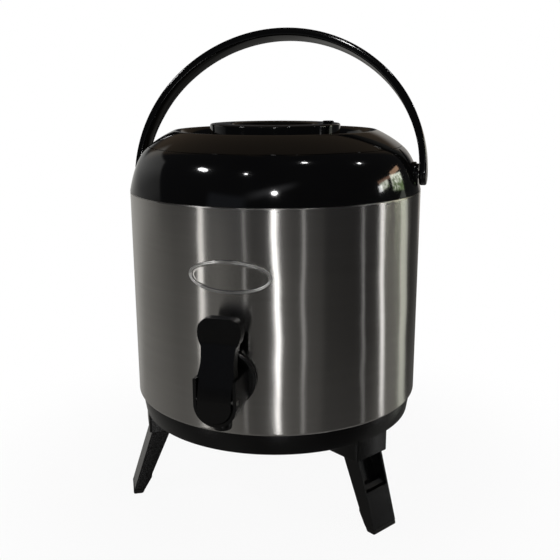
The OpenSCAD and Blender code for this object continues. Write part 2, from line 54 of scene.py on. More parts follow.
class Wire:
    """A socket of a node tree, so that sums on it read as plain arithmetic."""

    def __init__(self, tree, socket):
        self.tree, self.socket = tree, socket

    def node(self, kind, settings, inputs, out=0):
        """A new node of this kind: its settings first, then the values or Wires of its sockets."""
        made = self.tree.nodes.new(kind)
        for name, value in settings.items():
            if name == "stops":
                stops = made.color_ramp.elements
                stops.remove(stops[1])
                stops[0].position, stops[0].color = value[0]
                for place, colour in value[1:]:
                    stops.new(place).color = colour
            else:
                setattr(made, name, value)
        for name, value in inputs.items():
            if isinstance(value, Wire):
                self.tree.links.new(value.socket, made.inputs[name])
            else:
                made.inputs[name].default_value = value
        return Wire(self.tree, made.outputs[out])

    def maths(self, operation, *values):
        """A Math node on these values, or on this one alone."""
        return self.node("ShaderNodeMath", {"operation": operation}, dict(enumerate(values or [self])))

    def __add__(self, other):
        return self.maths("ADD", self, other)

    def __radd__(self, other):
        return self.maths("ADD", other, self)

    def __sub__(self, other):
        return self.maths("SUBTRACT", self, other)

    def __rsub__(self, other):
        return self.maths("SUBTRACT", other, self)

    def __mul__(self, other):
        return self.maths("MULTIPLY", self, other)

    def __rmul__(self, other):
        return self.maths("MULTIPLY", other, self)

    def __truediv__(self, other):
        return self.maths("DIVIDE", self, other)

    def __lt__(self, other):
        return self.maths("LESS_THAN", self, other)

    def __gt__(self, other):
        return self.maths("GREATER_THAN", self, other)

    def __abs__(self):
        return self.maths("ABSOLUTE")

    def parts(self, axes="XYZ"):
        """The values of a vector along these axes."""
        return [self.node("ShaderNodeSeparateXYZ", {}, {0: self}, axis) for axis in axes]

    def stretched(self, scale):
        """These coordinates with a scale for each axis."""
        return self.node("ShaderNodeMapping", {}, {"Vector": self, "Scale": scale})

    def noise(self, scale, detail=2.0):
        """Soft noise from 0 to 1 on these coordinates."""
        inputs = {"Vector": self, "Scale": scale, "Detail": detail}
        return self.node("ShaderNodeTexNoise", {}, inputs, "Fac")

    def between(self, low, high):
        """A colour that goes from low to high with this value. Each is a colour or a Wire."""
        low, high = (end if isinstance(end, Wire) else (*end, 1) for end in (low, high))
        # a Mix node's sockets 0, 6 and 7 are its factor and two colours, and output 2 is its colour
        return self.node("ShaderNodeMix", {"data_type": "RGBA"}, {0: self, 6: low, 7: high}, 2)

    def relief(self, strength, depth):
        """A bump of this depth in metres that follows this value."""
        inputs = {"Strength": strength, "Distance": depth, "Height": self}
        return self.node("ShaderNodeBump", {}, inputs, "Normal")


def new_finish(name, fixed):
    """A finish, its shader with the sockets that are the same all over, and its Object coordinates."""
    finish = bpy.data.materials.new(name)
    finish.use_nodes = True
    tree = finish.node_tree
    shader = tree.nodes["Principled BSDF"]
    for socket, value in fixed.items():
        shader.inputs[socket].default_value = value
    place = Wire(tree, tree.nodes.new("ShaderNodeTexCoord").outputs["Object"])
    return finish, shader, place


def feed(shader, **wires):
    """Links what changes over the surface into the shader, as Base_Color=wire."""
    for socket, wire in wires.items():
        wire.tree.links.new(wire.socket, shader.inputs[socket.replace("_", " ")])


satin_black, shader, place = new_finish("satin_black", {"IOR": 1.44})
cloud = place.noise(26, 4)
feed(
    shader,
    Base_Color=cloud.between((0.0018, 0.0018, 0.0020), (0.0042, 0.0042, 0.0045)),
    Roughness=0.20 + 0.10 * cloud,
    Normal=place.noise(2300).relief(0.16, 0.0002),
)


def rounded(corners, steps=4):
    """A closed outline from corners (a, b, radius), each rounded to its radius."""
    outline = []
    for i, (a, b, radius) in enumerate(corners):
        corner = Vector((a, b))
        if radius == 0:
            outline.append(corner)
            continue
        back = (Vector(corners[i - 1][:2]) - corner).normalized()
        ahead = (Vector(corners[(i + 1) % len(corners)][:2]) - corner).normalized()
        half = back.angle(ahead) / 2
        middle = corner + (back + ahead).normalized() * (radius / math.sin(half))
        first = corner + back * (radius / math.tan(half)) - middle
        last = corner + ahead * (radius / math.tan(half)) - middle
        outline += [middle + first.slerp(last, k / steps) * radius for k in range(steps + 1)]
    return outline


def turned(line, steps=160):
    """A shell turned about the upright axis from a closed line of (radius, height)."""
    n = len(line)
    spokes = [math.tau * i / steps for i in range(steps)]
    points = [(r * math.sin(a), -r * math.cos(a), z) for a in spokes for r, z in line]
    faces = [
        (i * n + k, i * n + (k + 1) % n, (i + 1) % steps * n + (k + 1) % n, (i + 1) % steps * n + k)
        for i in range(steps)
        for k in range(n)
    ]
    return points, faces


def skinned(loops):
    """A shell drawn over a row of equal loops and closed at its two ends."""
    n = len(loops[0])
    points = [point for loop in loops for point in loop]
    faces = [
        (i * n + k, i * n + (k + 1) % n, (i + 1) * n + (k + 1) % n, (i + 1) * n + k)
        for i in range(len(loops) - 1)
        for k in range(n)
    ]
    last = len(points) - n
    return points, [*faces, tuple(range(n)), tuple(range(last, last + n))]


def moved(shell, matrix):
    """A shell carried by a matrix whose lengths are millimetres."""
    points, faces = shell
    return [matrix @ Vector(point) for point in points], faces


def round_to(shell, angle):
    """A shell made at the front, carried round the barrel by an angle in degrees."""
    return moved(shell, Matrix.Rotation(math.radians(angle), 4, "Z"))


def shaded(piece, angle=38):
    """Smooth shading that breaks at edges sharper than the angle."""
    piece.data.polygons.foreach_set("use_smooth", [True] * len(piece.data.polygons))
    piece.data.set_sharp_from_angle(angle=math.radians(angle))
    return piece


SAME_POINT, SLIVER = 2e-6, 1e-6  # in metres


def piece_of(name, shells, finish):
    """A piece made of shells in millimetres, with its doubles merged and its faces outwards."""
    points, faces = [], []
    for shell_points, shell_faces in shells:
        faces += [[len(points) + i for i in face] for face in shell_faces]
        points += [Vector(point) * MM for point in shell_points]
    mesh = bpy.data.meshes.new(name)
    mesh.from_pydata(points, [], faces)
    work = bmesh.new()
    work.from_mesh(mesh)
    bmesh.ops.remove_doubles(work, verts=work.verts, dist=SAME_POINT)
    bmesh.ops.dissolve_degenerate(work, edges=work.edges, dist=SLIVER)
    bmesh.ops.recalc_face_normals(work, faces=work.faces)
    work.to_mesh(mesh)
    work.free()
    mesh.materials.append(finish)
    piece = bpy.data.objects.new(name, mesh)
    bpy.context.scene.collection.objects.link(piece)
    return shaded(piece)


def settled(piece):
    """The piece with its modifiers worked into a plain mesh."""
    done = piece.evaluated_get(bpy.context.evaluated_depsgraph_get())
    mesh = bpy.data.meshes.new_from_object(done)
    piece.modifiers.clear()
    piece.data = mesh
    return piece


def eased(piece, width, segments=3, sharper_than=32):
    """The piece with its sharp edges rounded to a width in millimetres and its flats kept flat."""
    edge = piece.modifiers.new("edge", "BEVEL")
    edge.width, edge.segments = width * MM, segments
    edge.limit_method, edge.angle_limit = "ANGLE", math.radians(sharper_than)
    edge.harden_normals = True
    return settled(piece)


SKIRT_TOP, SKIRT_LOW, PLATE_LOW = 99, 80.2, 95
SKIRT_TOP_R, SKIRT_LOW_R, SKIRT_T = 127.4, 124.4, 3
HOOD_TOP, HOOD_LOW, HOOD_BACK, HOOD_FRONT, HOOD_HALF = SKIRT_TOP - 1.5, 63.2, 92, 123.6, 19.6
BAY_HALF, BAY_FRONT = 16.2, 121.4
skirt = turned(
    rounded(
        [(0, SKIRT_TOP, 0), (SKIRT_TOP_R, SKIRT_TOP, 0.4), (SKIRT_LOW_R, SKIRT_LOW, 1.5)]
        + [(SKIRT_LOW_R - SKIRT_T, SKIRT_LOW, 0.9), (SKIRT_TOP_R - SKIRT_T, PLATE_LOW, 2)]
        + [(0, PLATE_LOW, 0)]
    ),
    steps=192,
)
hood_plan = rounded(
    [(-HOOD_HALF, HOOD_BACK, 0.6), (-HOOD_HALF, HOOD_FRONT, 2.2), (HOOD_HALF, HOOD_FRONT, 2.2)]
    + [(HOOD_HALF, HOOD_BACK, 0.6), (BAY_HALF, HOOD_BACK, 0.6), (BAY_HALF, BAY_FRONT, 1.2)]
    + [(-BAY_HALF, BAY_FRONT, 1.2), (-BAY_HALF, HOOD_BACK, 0.6)]
)
hood = skinned([[(x, -out, z) for x, out in hood_plan] for z in (HOOD_LOW, HOOD_TOP)])
base = piece_of("base_moulding", [skirt, *(round_to(hood, a) for a in LEG_ANGLES.values())], satin_black)
eased(base, 0.7)
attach(base, "barrel")
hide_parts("base")

# Base screws and hinge pins
# Six cross-recessed pan-head screws hold the base to the barrel's floor, a pair in each bay between
# the legs. A plain steel pin with domed ends passes through each housing and its leg.

turned_steel, shader, place = new_finish("turned_steel", {"Metallic": 1.0, "IOR": 2.5})
marks = place.noise(900, 3)
feed(
    shader,
    Base_Color=marks.between((0.44, 0.43, 0.42), (0.56, 0.55, 0.54)),
    Roughness=0.24 + 0.16 * marks,
    Normal=place.noise(3000).relief(0.1, 0.0001),
)


def new_form(name, inputs):
    """A Geometry Nodes tree with named inputs, each given as a Wire."""
    tree = bpy.data.node_groups.new(name, "GeometryNodeTree")
    tree.interface.new_socket("Geometry", in_out="OUTPUT", socket_type="NodeSocketGeometry")
    for label, kind in inputs.items():
        tree.interface.new_socket(label, in_out="INPUT", socket_type="NodeSocket" + kind)
    entry = tree.nodes.new("NodeGroupInput")
    return tree, {label: Wire(tree, entry.outputs[label]) for label in inputs}


def end_form(shape, finish):
    """Ends a form's tree in real geometry that wears its finish."""
    real = shape.node("GeometryNodeRealizeInstances", {}, {"Geometry": shape})
    worn = shape.node("GeometryNodeSetMaterial", {}, {"Geometry": real, "Material": finish})
    shape.tree.links.new(worn.socket, shape.tree.nodes.new("NodeGroupOutput").inputs["Geometry"])


def formed(name, tree, values, start=None):
    """The plain mesh piece that a form's tree makes from these values."""
    piece = bpy.data.objects.new(name, start or bpy.data.meshes.new(name))
    bpy.context.scene.collection.objects.link(piece)
    form = piece.modifiers.new("form", "NODES")
    form.node_group = tree
    for item in tree.interface.items_tree:
        if item.in_out == "INPUT" and item.name in values:
            form[item.identifier] = values[item.name]
    return shaded(settled(piece))


def cut(piece, shells):
    """The piece with shells, in millimetres, taken out of it."""
    tool = piece_of("tool", shells, piece.data.materials[0])
    hole = piece.modifiers.new("hole", "BOOLEAN")
    hole.operation, hole.solver, hole.object = "DIFFERENCE", "EXACT", tool
    settled(piece)
    bpy.data.objects.remove(tool)
    stale = piece.data.attributes.get("custom_normal")
    if stale:
        piece.data.attributes.remove(stale)
    return shaded(piece)


ring_tree, ring = new_form(
    "ring_of_fittings",
    {"Fitting": "Object", "Bays": "Int", "In a Bay": "Int", "Spread": "Float", "First Turn": "Float"}
    | {"Finish": "Material"},
)
index = ring["Bays"].node("GeometryNodeInputIndex", {}, {})
bay = (index / ring["In a Bay"]).maths("FLOOR")
seat = index - bay * ring["In a Bay"] - (ring["In a Bay"] - 1) * 0.5
turn = ring["First Turn"] + bay * math.tau / ring["Bays"] + seat * ring["Spread"]
spots = index.node("GeometryNodePoints", {}, {"Count": ring["Bays"] * ring["In a Bay"]})
fitting = index.node("GeometryNodeObjectInfo", {}, {"Object": ring["Fitting"]}, "Geometry")
facing = index.node("ShaderNodeCombineXYZ", {}, {"Z": turn})
placed = spots.node(
    "GeometryNodeInstanceOnPoints", {}, {"Points": spots, "Instance": fitting, "Rotation": facing}
)
end_form(placed, ring["Finish"])

SCREW_RING, SCREW_SPREAD, SCREW_R, SCREW_T = 100, 40, 1.8, 1.5
HEAD_R, HEAD_T, CROSS_REACH, CROSS_HALF, CROSS_DEEP = 3.6, 2.4, 2.1, 0.45, 1.3
head = rounded(
    [(0, PLATE_LOW + SCREW_T, 0), (SCREW_R, PLATE_LOW + SCREW_T, 0), (SCREW_R, PLATE_LOW, 0)]
    + [(HEAD_R, PLATE_LOW, 0.2), (HEAD_R, PLATE_LOW - HEAD_T, 1.3), (0, PLATE_LOW - HEAD_T, 0)]
)
screw_axis = Matrix.Translation((0, -SCREW_RING, 0))
screw = piece_of("screw", [moved(turned(head, 32), screw_axis)], turned_steel)
cross = [(-CROSS_REACH, -CROSS_HALF), (CROSS_REACH, -CROSS_HALF)]
cross += [(CROSS_REACH, CROSS_HALF), (-CROSS_REACH, CROSS_HALF)]
cross_ends = (PLATE_LOW - HEAD_T - 0.6, PLATE_LOW - HEAD_T + CROSS_DEEP)
arm = skinned([[(x, y, z) for x, y in cross] for z in cross_ends])
for quarter in (0, 90):
    cut(screw, [moved(arm, screw_axis @ Matrix.Rotation(math.radians(quarter), 4, "Z"))])
first_bay = (LEG_ANGLES["right"] + LEG_ANGLES["left"]) / 2
base_screws = formed(
    "base_screw_set",
    ring_tree,
    {"Fitting": screw, "Bays": len(LEG_ANGLES), "In a Bay": 2, "Spread": math.radians(SCREW_SPREAD)}
    | {"First Turn": math.radians(first_bay), "Finish": turned_steel},
)
bpy.data.objects.remove(screw)
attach(base_screws, "barrel")
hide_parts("base_screws")

PIN_R, PIN_HALF, HINGE_OUT, HINGE_UP = 2.5, HOOD_HALF + 0.3, 108, 75
pin_line = rounded(
    [(0, -PIN_HALF, 0), (PIN_R, -PIN_HALF, 0.7), (PIN_R, PIN_HALF, 0.7), (0, PIN_HALF, 0)]
)
lay_across = Matrix.Rotation(math.radians(90), 4, "Y")
hinge_axis = Matrix.Translation((0, -HINGE_OUT, HINGE_UP)) @ lay_across
pin = piece_of("pin", [moved(turned(pin_line, 32), hinge_axis)], turned_steel)
leg_pins = formed(
    "leg_pin_set",
    ring_tree,
    {"Fitting": pin, "Bays": len(LEG_ANGLES), "In a Bay": 1, "Spread": 0.0}
    | {"First Turn": math.radians(LEG_ANGLES["right"]), "Finish": turned_steel},
)
bpy.data.objects.remove(pin)
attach(leg_pins, "barrel")
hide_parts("leg_pins")

# Legs and feet
# Three moulded legs fold up under the base, each with a heel on its inner side and a rubber pad pressed
# onto its end. A pocket is cored out of the outer face of the right and back legs; the left is plain.

HUB_R, SPLAY, TAPER, LEG_W, FOOT_W = 8.6, 18.0, 5.4, 31.8, 28.2
LEG_TOP, HEEL_UP, HEEL_RUN, PAD_UP = HINGE_UP + HUB_R + 1, 16.0, 63.5, 4.0
POCKET_HALF, POCKET_DRAFT, PIN_FIT, BORE_HALF = 13.0, 0.06, 0.05, 20


def ray(degrees):
    """The unit vector at an angle in a plane."""
    return Vector((math.cos(math.radians(degrees)), math.sin(math.radians(degrees))))


def arc(middle, radius, start, end, steps):
    """Points round a middle, from one angle in degrees to another."""
    return [
        Vector(middle) + ray(start + (end - start) * k / steps) * radius for k in range(steps + 1)
    ]


def leg_half(up):
    """Half the width of a leg, which narrows to the foot."""
    return (FOOT_W + (LEG_W - FOOT_W) * up / LEG_TOP) / 2


hinge = Vector((HINGE_OUT, HINGE_UP))
down_outer, down_inner = ray(SPLAY - 90), ray(SPLAY + TAPER - 90)
outer_top, inner_top = hinge + ray(SPLAY) * HUB_R, hinge - ray(SPLAY + TAPER) * HUB_R
outer_toe = outer_top + down_outer * ((outer_top.y - PAD_UP) / -down_outer.y)
heel = inner_top + down_inner * ((inner_top.y - HEEL_UP) / -down_inner.y)
inner_low = inner_top + down_inner * (inner_top.y / -down_inner.y) + Vector((1, 0))
inner_toe = heel.lerp(inner_low, 1 - PAD_UP / HEEL_UP)

# each station down a leg: a point on its outer face, one on its inner face, the pocket's depth
hub_outer = arc(hinge, HUB_R, SPLAY + 90, SPLAY, 4)
hub_inner = arc(hinge, HUB_R, SPLAY + 90, SPLAY + TAPER + 180, 4)
stations = [(outer, inner, 0) for outer, inner in zip(hub_outer, hub_inner)]
# the pocket by its run down the leg and its depth, with a small ledge near its lower end
pocket = [(13, 0), (13.2, 12), (38.6, 11), (39.2, 4.4), (43, 2.2), (43.6, 3.8), (45, 0)]
for run, depth in [(6, 0), *pocket, (57.3, 0)]:
    stations.append((outer_top + down_outer * run, inner_top + down_inner * run, depth))
stations += [(outer_top + down_outer * HEEL_RUN, heel - Vector((1, 0)), 0), (outer_toe, inner_toe, 0)]


def leg_shell(sunk):
    """The shell of a leg, with its pocket sunk by a share of its full depth."""
    loops = []
    for outer, inner, depth in stations:
        half_out, half_in = leg_half(outer.y), leg_half(inner.y)
        floor, half_floor = outer - ray(SPLAY) * depth * sunk, POCKET_HALF - POCKET_DRAFT * depth * sunk
        loops.append(
            [(-half_in, -inner.x, inner.y), (half_in, -inner.x, inner.y), (half_out, -outer.x, outer.y)]
            + [(POCKET_HALF, -outer.x, outer.y), (half_floor, -floor.x, floor.y)]
            + [(-half_floor, -floor.x, floor.y), (-POCKET_HALF, -outer.x, outer.y)]
            + [(-half_out, -outer.x, outer.y)]
        )
    return skinned(loops)


def drill(radius, low, high, steps=48):
    """A plain round cutter about the upright axis."""
    return turned([(0, low), (radius, low), (radius, high), (0, high)], steps)


def evened(piece):
    """The piece with its flats shaded flat right up to their rounded edges."""
    even = piece.modifiers.new("even", "WEIGHTED_NORMAL")
    even.keep_sharp, even.weight = True, 100
    return settled(piece)


hinge_bore = moved(drill(PIN_R + PIN_FIT, -BORE_HALF, BORE_HALF), hinge_axis)

black_rubber, shader, place = new_finish("black_rubber", {"IOR": 1.45})
dust = place.noise(60, 5)
feed(
    shader,
    Base_Color=dust.between((0.013, 0.013, 0.013), (0.034, 0.033, 0.031)),
    Roughness=0.58 + 0.22 * dust,
    Normal=place.noise(1500, 4).relief(0.25, 0.0002),
)
# each level of a pad: its height, and by how much its toe is further out, its back in and its sides in
pad_levels = [(0, 0, 2.4, 0.5), (0.5, 0.6, 1.9, 0), (1.5, 0.8, 1.2, 0), (PAD_UP, 0, 0, 0)]
foot_loops = []
for up, further, shorter, narrower in pad_levels:
    half, toe, back = leg_half(up) - narrower, outer_toe.x + further, inner_toe.x + shorter
    foot_plan = rounded([(-half, back, 1), (-half, toe, 1), (half, toe, 1), (half, back, 1)])
    foot_loops.append([(x, -out, up) for x, out in foot_plan])

for side, angle in LEG_ANGLES.items():
    sunk = 0 if side == "left" else 1  # the left leg's outer face is plain
    leg = piece_of(f"leg_{side}_moulding", [round_to(leg_shell(sunk), angle)], satin_black)
    eased(leg, 0.8)
    evened(cut(leg, [round_to(hinge_bore, angle)]))
    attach(leg, f"{side}_leg")
    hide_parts(f"leg_{side}")
    foot = piece_of(f"foot_{side}_pad", [round_to(skinned(foot_loops), angle)], black_rubber)
    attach(foot, f"{side}_leg")
    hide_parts(f"foot_{side}")

# Barrel
# The outer shell is a seam-welded tube of stainless sheet, rolled in at both ends and brushed round
# and round. The liner inside is drawn from the same sheet, and the space between holds poured foam.

BARREL_R, SHELL_TOP, SHEET_T, ROLLED_IN, LIP_DEEP, SEAM_HALF = 130, 284.5, 0.6, 1.6, 1.1, 0.6

brushed_steel, shader, place = new_finish(
    "brushed_steel", {"Metallic": 1.0, "Anisotropic": 1.0, "Anisotropic Rotation": 0.25}
)
x, y, z = place.parts()
angle_round = x.maths("ARCTAN2", x, 0 - y)
brush = x.node("ShaderNodeCombineXYZ", {}, {"X": angle_round * 1.6, "Z": z * 2600}).noise(1.0, 3)
long_marks = x.node("ShaderNodeCombineXYZ", {}, {"X": angle_round * 0.7, "Z": z * 240}).noise(1.0, 2)
sway = place.stretched((9, 9, 14)).noise(1.0, 1)
seam = (x * x < (SEAM_HALF * MM) ** 2) * (y > 0.0)
lip = z > (SHELL_TOP - LIP_DEEP) * MM
feed(
    shader,
    Base_Color=(0.6 * brush + 0.4 * long_marks).between((0.52, 0.505, 0.485), (0.68, 0.665, 0.64)),
    Roughness=0.165 + 0.045 * brush + 0.035 * long_marks + 0.15 * seam + 0.22 * lip,
    Normal=(sway + 0.004 * brush - 0.01 * seam).relief(0.5, 0.0032),
)

INSIDE_R, ROLLED_R = BARREL_R - SHEET_T, BARREL_R - ROLLED_IN
shell_line = rounded(
    [(0, SKIRT_TOP, 0), (BARREL_R, SKIRT_TOP, 2.5), (BARREL_R, SHELL_TOP, 1.5), (ROLLED_R, SHELL_TOP, 0)]
    + [(ROLLED_R, SHELL_TOP - SHEET_T, 0), (INSIDE_R, SHELL_TOP - SHEET_T, 0.4)]
    + [(INSIDE_R, SKIRT_TOP + SHEET_T, 1.9), (0, SKIRT_TOP + SHEET_T, 0)],
    steps=6,
)
steel_shell = piece_of("steel_shell", [turned(shell_line, 288)], brushed_steel)
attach(steel_shell, "barrel")
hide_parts("outer_shell")

satin_steel, shader, place = new_finish("satin_steel", {"Metallic": 1.0})
rings = place.stretched((20, 20, 1400)).noise(1.0, 3)
feed(
    shader,
    Base_Color=rings.between((0.56, 0.56, 0.55), (0.70, 0.70, 0.69)),
    Roughness=0.30 + 0.12 * rings,
    Normal=rings.relief(0.08, 0.0001),
)
poured_foam, shader, place = new_finish("poured_foam", {"IOR": 1.3})
cells = place.node("ShaderNodeTexVoronoi", {}, {"Vector": place, "Scale": 700}, "Distance")
feed(
    shader,
    Base_Color=place.noise(40, 3).between((0.62, 0.52, 0.30), (0.80, 0.72, 0.48)),
    Roughness=0.85 + 0.1 * cells,
    Normal=cells.relief(0.5, 0.0004),
)
silicone, shader, place = new_finish("silicone", {"IOR": 1.42, "Subsurface Weight": 0.05})
bloom = place.noise(120, 3)
feed(
    shader,
    Base_Color=bloom.between((0.48, 0.48, 0.46), (0.60, 0.60, 0.57)),
    Roughness=0.42 + 0.16 * bloom,
    Normal=place.noise(1800).relief(0.12, 0.0001),
)


def dressed(node, finish):
    """A CAD node that keeps its shape and gets a better finish."""
    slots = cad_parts[node].data.materials
    slots.clear()
    slots.append(finish)


dressed("inner_liner", satin_steel)
dressed("liner_floor", satin_steel)
dressed("insulation", poured_foam)
dressed("liner_gasket", silicone)

# Badge
# An oval badge pressed from thin sheet and bonded to the steel, with a raised double rim. Its field
# is left bare.

BADGE_UP, BADGE_HALF_W, BADGE_HALF_H = 230.4, 34.5, 13.25
RIM_PROUD, OVAL_STEPS, FIELD_RINGS = 1.2, 96, 12

badge_metal, shader, place = new_finish(
    "badge_metal", {"Metallic": 1.0, "Anisotropic": 0.9, "Anisotropic Rotation": 0.25}
)
pressed = place.noise(420, 4)
x, y = place.parts("XY")
# the raised double rim: its colour is painted brighter than the field as a painted highlight on its
# ridges, and it is also rougher
rim_painted_highlight = x * x + y * y > ((BARREL_R + RIM_PROUD) * MM) ** 2
feed(
    shader,
    Base_Color=(0.4 * pressed + 0.6 * rim_painted_highlight).between((0.52, 0.505, 0.485), (0.86, 0.85, 0.83)),
    Roughness=0.12 + 0.06 * pressed + 0.22 * rim_painted_highlight,
    Normal=place.noise(60, 1).relief(0.1, 0.0003),
)
# the pressing's section: drawn in from the edge, height above the steel
badge_steps = [(0, 0.15), (0, 1.1), (0.25, 1.5), (0.6, 1.65), (0.95, 1.5), (1.2, 1.25), (1.4, 1.25)]
badge_steps += [(1.65, 1.45), (1.95, 1.55), (2.25, 1.4), (2.5, 1.1), (2.8, 1)]
badge_ovals = [(BADGE_HALF_W - inset, BADGE_HALF_H - inset, proud) for inset, proud in badge_steps]
under_w, under_h, under_proud = badge_ovals[0]
field_w, field_h, field_proud = badge_ovals[-1]
for k in range(FIELD_RINGS - 1, 0, -1):
    badge_ovals.append((field_w * k / FIELD_RINGS, field_h * k / FIELD_RINGS, field_proud))
badge_ovals.insert(0, (under_w / FIELD_RINGS, under_h / FIELD_RINGS, under_proud))
badge_loops = []
for half_w, half_h, proud in badge_ovals:
    out, loop = BARREL_R + proud, []
    for k in range(OVAL_STEPS):
        spoke = math.tau * k / OVAL_STEPS
        across, up = half_w * math.cos(spoke) / BARREL_R, half_h * math.sin(spoke)
        loop.append((out * math.sin(across), -out * math.cos(across), BADGE_UP + up))
    badge_loops.append(loop)
badge = piece_of("oval_badge", [skinned(badge_loops)], badge_metal)
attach(badge, "barrel")
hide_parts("badge")

# Collar
# The domed collar is a thick high-gloss black moulding whose spigot plugs into the shell. It carries
# the mouth, and a raised pad with a round lug at each end of the bail's axis.

LIP_UP, LIP_R, MOUTH_R, MOUTH_LOW, PIVOT_UP = 322.3, 112.5, 104.2, SHELL_TOP + 12.2, 299
COLLAR_T, DOME_IN, DOME_DOWN, SPIGOT_R, SPIGOT_LOW = 3, 5.7, 9.1, 129.3, SHELL_TOP - 8

gloss_black, shader, place = new_finish("gloss_black", {"IOR": 1.5})
swirl = place.noise(38, 4)
rubbed = place.stretched((900, 900, 140)).noise(1.0, 2)
feed(
    shader,
    Base_Color=swirl.between((0.0035, 0.0035, 0.0038), (0.0060, 0.0060, 0.0064)),
    Roughness=0.035 + 0.05 * swirl + 0.03 * rubbed,
    Normal=place.noise(16, 1).relief(0.05, 0.0006),
)


def swept(a, b, c, steps):
    """Points of a curve from a to c, drawn towards b."""
    return [
        Vector(a) * (1 - t) ** 2 + Vector(b) * 2 * t * (1 - t) + Vector(c) * t**2
        for t in (k / steps for k in range(steps + 1))
    ]


def dome(lift, steps=28):
    """The collar's outer line, from the shell up to the lip, lifted by a small amount."""
    low, high = (BARREL_R + lift, SHELL_TOP + 0.2), (LIP_R, LIP_UP + lift)
    return swept(low, (BARREL_R - DOME_IN + lift, LIP_UP - DOME_DOWN + lift), high, steps)


collar_line = [Vector((SPIGOT_R, SHELL_TOP)), Vector((SPIGOT_R + 0.45, SHELL_TOP + 0.02))] + dome(0)
collar_line += rounded(
    [(MOUTH_R, LIP_UP, 1.0), (MOUTH_R, MOUTH_LOW, 0.4), (MOUTH_R + COLLAR_T, MOUTH_LOW, 0.4)]
    + [(MOUTH_R + COLLAR_T, LIP_UP - COLLAR_T, 1.5), (LIP_R, LIP_UP, 0)]
)[:-1]
collar_line += swept(
    (LIP_R - 1, LIP_UP - COLLAR_T),
    (BARREL_R - DOME_IN - COLLAR_T, LIP_UP - DOME_DOWN - COLLAR_T),
    (SPIGOT_R - COLLAR_T, SHELL_TOP),
    12,
)
collar_line += [Vector((SPIGOT_R - COLLAR_T, SPIGOT_LOW)), Vector((SPIGOT_R, SPIGOT_LOW))]
PAD_HALF, PAD_LIFT, PAD_SUNK, PAD_STEPS = 15, 0.4, 1.5, 10
LUG_R, LUG_IN, LUG_OUT, BOSS_R, BOSS_OUT, PILOT_R, PILOT_DEEP = 11, 115, 126.2, 9.5, 128.4, 2.5, 3
pad_loops = []
for step in range(-PAD_STEPS, PAD_STEPS + 1):
    across = PAD_HALF * step / PAD_STEPS
    lift = 0 if abs(step) == PAD_STEPS else PAD_LIFT
    # a pad covers the dome from a little above the shell to just below the lip
    loop = dome(lift, 20)[3:-1] + dome(-PAD_SUNK, 20)[-2:2:-1]
    pad_loops.append(
        [(across, -min(math.sqrt(p.x**2 - across**2), BOSS_OUT), p.y) for p in loop]
    )
lug_line = rounded(
    [(0, LUG_IN, 0), (LUG_R, LUG_IN, 0), (LUG_R, LUG_OUT, 0.7), (BOSS_R, LUG_OUT, 0.2)]
    + [(BOSS_R, BOSS_OUT, 0.5), (PILOT_R, BOSS_OUT, 0.2), (PILOT_R, BOSS_OUT - PILOT_DEEP, 0)]
    + [(0, BOSS_OUT - PILOT_DEEP, 0)]
)
lay_out = Matrix.Translation((0, 0, PIVOT_UP)) @ Matrix.Rotation(math.radians(90), 4, "X")
ear = [skinned(pad_loops), moved(turned(lug_line, 64), lay_out)]
ears = [round_to(shell, side) for side in (90, -90) for shell in ear]
collar = piece_of("collar_moulding", [turned(collar_line, 256), *ears], gloss_black)
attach(collar, "barrel")
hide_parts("collar")

# Bail
# The carrying bail is one black strap with round ends, moulded as a half hoop. It swings on two
# shouldered screws that are driven into the collar's lugs.

BAIL_IN, BAIL_DROP, BAIL_T, BAIL_HALF, BAIL_LEAN = 129.2, 6.8, 6.2, 9.0, 16.3
HOOP_EXTRA, HOOP_FROM, HOOP_OVER = 0.9, 24, 30
PIVOT_R, PIVOT_HEAD_R, PIVOT_SEAT, BEND_STEPS = 3.55, 5.8, 3.4, 150
BAIL_FLAT = BAIL_DROP / (2 - math.sqrt(2))
SIDE_R, TOP_R = BAIL_IN - BAIL_FLAT, BAIL_IN - BAIL_DROP + BAIL_FLAT
SIDE_RUN, TOP_RUN = math.pi / 4 * (SIDE_R + BAIL_T / 2), math.pi / 2 * (TOP_R + BAIL_T / 2)
BAIL_RUN = 2 * SIDE_RUN + TOP_RUN

strap_plan = arc((0, 0), BAIL_HALF, 90, 270, 24) + arc((BAIL_RUN, 0), BAIL_HALF, -90, 90, 24)
strap = piece_of(
    "strap", [skinned([[(s, w, t) for s, w in strap_plan] for t in (0, BAIL_T)])], gloss_black
)
shaded(eased(strap, 1.7, 5))
screw_bore = [(0, -1), (PIVOT_R, -1), (PIVOT_R, PIVOT_SEAT), (PIVOT_HEAD_R, PIVOT_SEAT)]
screw_bore += [(PIVOT_HEAD_R, 9), (0, 9)]
for s in (0, BAIL_RUN):
    cut(strap, [moved(turned(screw_bore, 48), Matrix.Translation((s, 0, 0)))])
work = bmesh.new()
work.from_mesh(strap.data)
for k in range(1, BEND_STEPS):
    bmesh.ops.bisect_plane(
        work,
        geom=[*work.verts, *work.edges, *work.faces],
        plane_co=(BAIL_RUN * MM * k / BEND_STEPS, 0, 0),
        plane_no=(1, 0, 0),
    )
for vert in work.verts:  # the hoop is thicker than its ends, on its inner side
    from_end = min(vert.co.x, BAIL_RUN * MM - vert.co.x) / MM
    if vert.co.z < BAIL_T / 2 * MM:
        vert.co.z -= HOOP_EXTRA * MM * min(max((from_end - HOOP_FROM) / HOOP_OVER, 0), 1)
work.to_mesh(strap.data)
work.free()

bend_tree, bend = new_form(
    "bent_strap",
    {"Geometry": "Geometry", "Side Run": "Float", "Top Run": "Float", "Side Radius": "Float"}
    | {"Top Radius": "Float", "Half Thickness": "Float", "Half Span": "Float"}
    | {"Lean": "Float", "Pivot Height": "Float", "Finish": "Material"},
)
spot = bend["Side Run"].node("GeometryNodeInputPosition", {}, {})
along, over, out = spot.parts()


def held(wire, low, high):
    """A value kept between two limits."""
    return wire.node("ShaderNodeClamp", {}, {"Value": wire, "Min": low, "Max": high})


